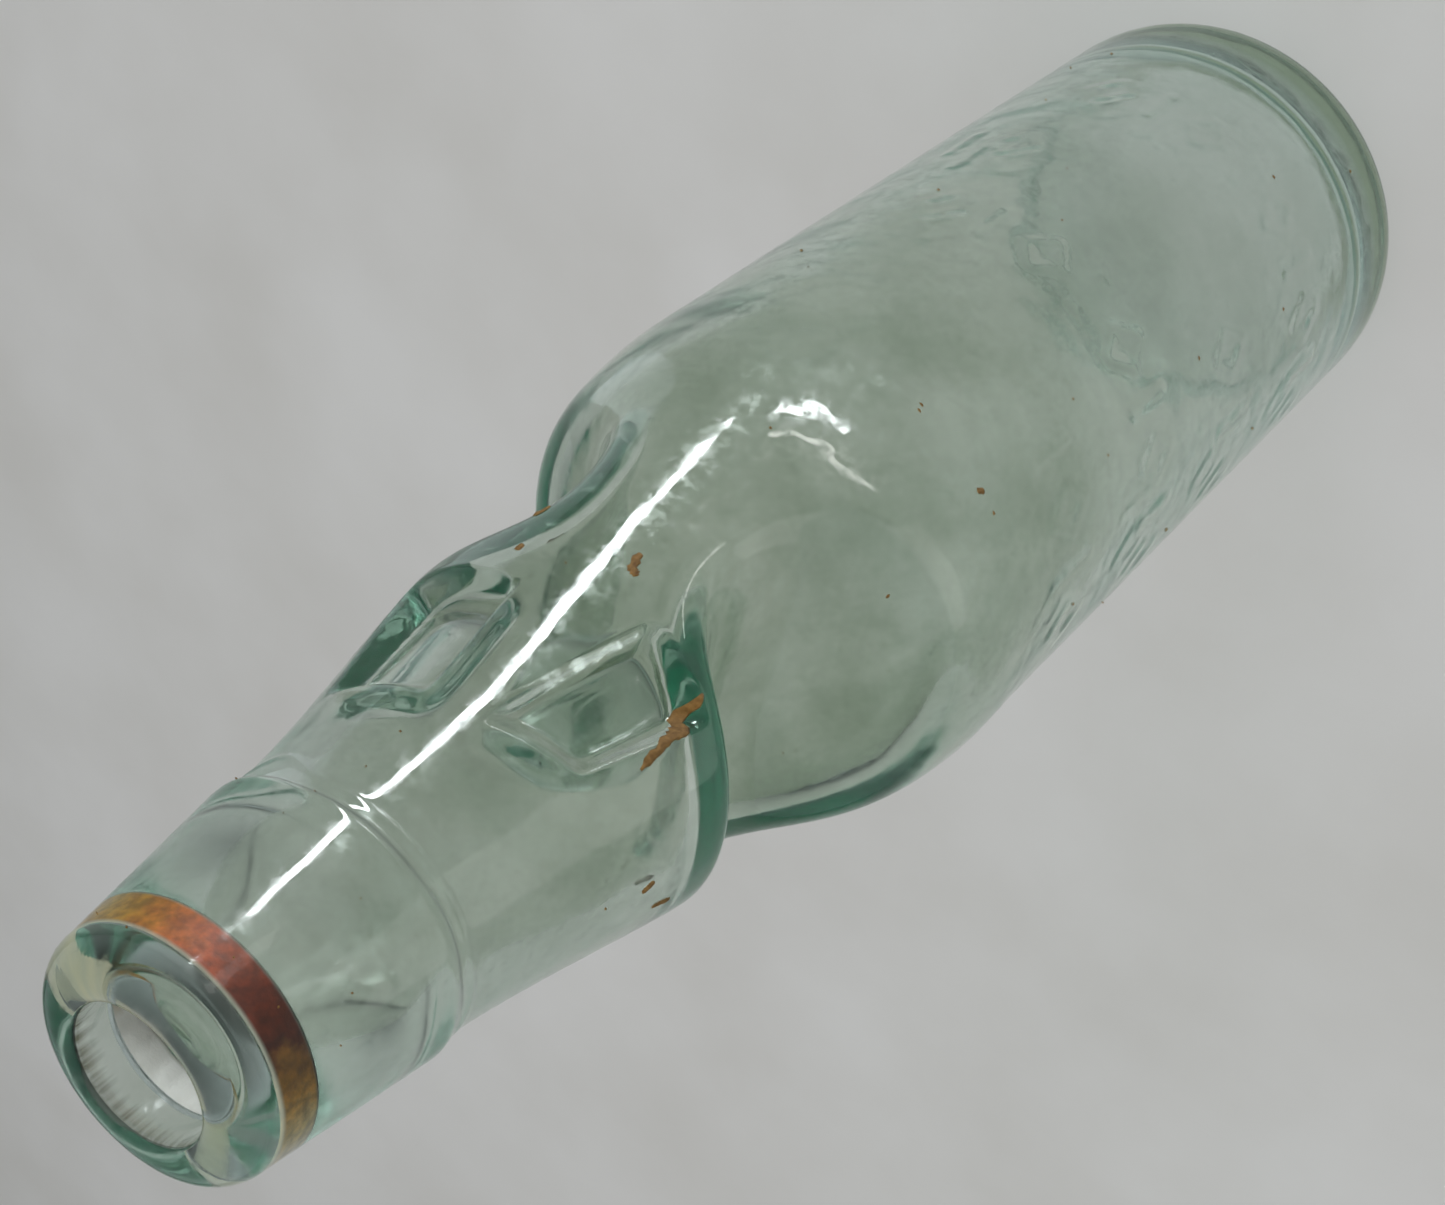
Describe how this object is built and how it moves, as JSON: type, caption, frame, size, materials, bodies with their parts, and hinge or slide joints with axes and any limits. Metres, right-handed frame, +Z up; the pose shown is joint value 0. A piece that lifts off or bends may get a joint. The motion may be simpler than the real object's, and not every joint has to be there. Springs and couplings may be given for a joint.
{
  "type": "marble-stoppered glass soda bottle",
  "caption": "Thick pale green glass soda bottle with a pinched waist, two pressed lugs, an applied lip, a rubber sealing ring and a loose glass marble that stops the mouth from inside.",
  "frame": {"origin": "centre of the standing ring under the base", "axes": "+Z up the bottle's axis towards the mouth; the front, midway between the two lugs, faces -Y; the waist is pinched at +X and -X"},
  "size_m": [0.062, 0.062, 0.225],
  "materials": {
    "body_glass": "pale aqua-green blown glass, glossy, with light wear, ripples and a few bubbles",
    "lip_glass": "pale aqua-green glass, glossy, thicker and a little clearer than the body",
    "ring_rubber": "perished rust-brown rubber with amber edges",
    "marble_glass": "pale green glass, glossy, lightly scuffed"
  },
  "bodies": {
    "bottle": {"bottle_body": "body_glass", "applied_lip": "lip_glass", "sealing_ring": "ring_rubber"},
    "marble": {"marble": "marble_glass"}
  },
  "joints": [
    {"name": "marble_slide", "type": "slide", "parent": "bottle", "child": "marble", "axis": [0, 0, 1], "range_m": [0, 0.0511]}
  ]
}
